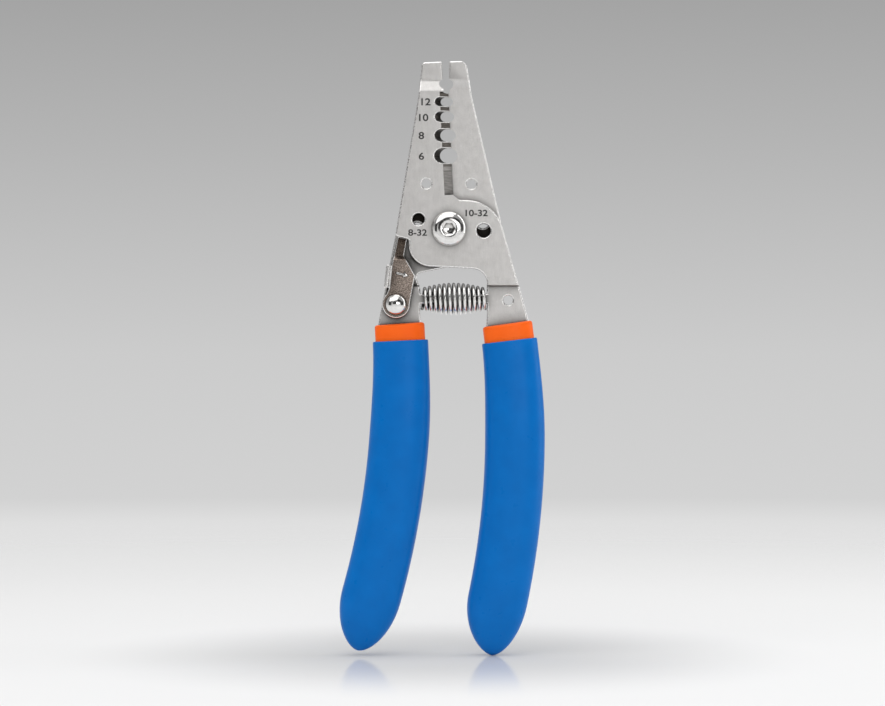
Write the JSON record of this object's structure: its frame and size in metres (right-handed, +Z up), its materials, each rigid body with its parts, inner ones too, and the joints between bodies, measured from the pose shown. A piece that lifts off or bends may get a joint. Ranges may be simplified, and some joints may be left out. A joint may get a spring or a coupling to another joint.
{
  "type": "wire stripper",
  "caption": "Wire stripper with lapped steel jaws, strip notches, shear blades, screw-cutting holes, barrel return spring, thumb lock and curved dipped grips.",
  "frame": {"origin": "On the ground under the middle of the tool's box, with the tool upright on its grip tips.", "axes": "X to the tool's right, Y to the back, Z up along the tool to its jaws; the front faces -Y."},
  "size_m": [0.063, 0.0126, 0.182],
  "materials": {
    "lever_steel": "satin ground steel",
    "screw_chrome": "bright plated",
    "washer_steel": "dull spring steel",
    "spring_wire": "bright drawn wire",
    "lock_steel": "dark burnished",
    "band_vinyl": "dipped, glossy",
    "grip_vinyl": "dipped, glossy"
  },
  "bodies": {
    "front": {"front_lever": "lever_steel", "pivot_screw": "screw_chrome", "pivot_washer": "washer_steel", "pivot_nut": "screw_chrome", "return_spring": "spring_wire", "right_under_grip": "band_vinyl", "right_outer_grip": "grip_vinyl"},
    "rear": {"rear_lever": "lever_steel", "lock_rivet": "screw_chrome", "lock_washer": "washer_steel", "left_under_grip": "band_vinyl", "left_outer_grip": "grip_vinyl"},
    "lock": {"lock_lever": "lock_steel"}
  },
  "joints": [
    {"name": "handle_pivot", "type": "hinge", "parent": "front", "child": "rear", "pos_m": [0.0021, 0, 0.13055], "axis": [0, 1, 0], "range_deg": [-1.5, 16], "deforming": ["return_spring"]},
    {"name": "lock_swing", "type": "hinge", "parent": "rear", "child": "lock", "pos_m": [-0.0141, 0, 0.10745], "axis": [0, 1, 0], "range_deg": [-28, 0]}
  ]
}
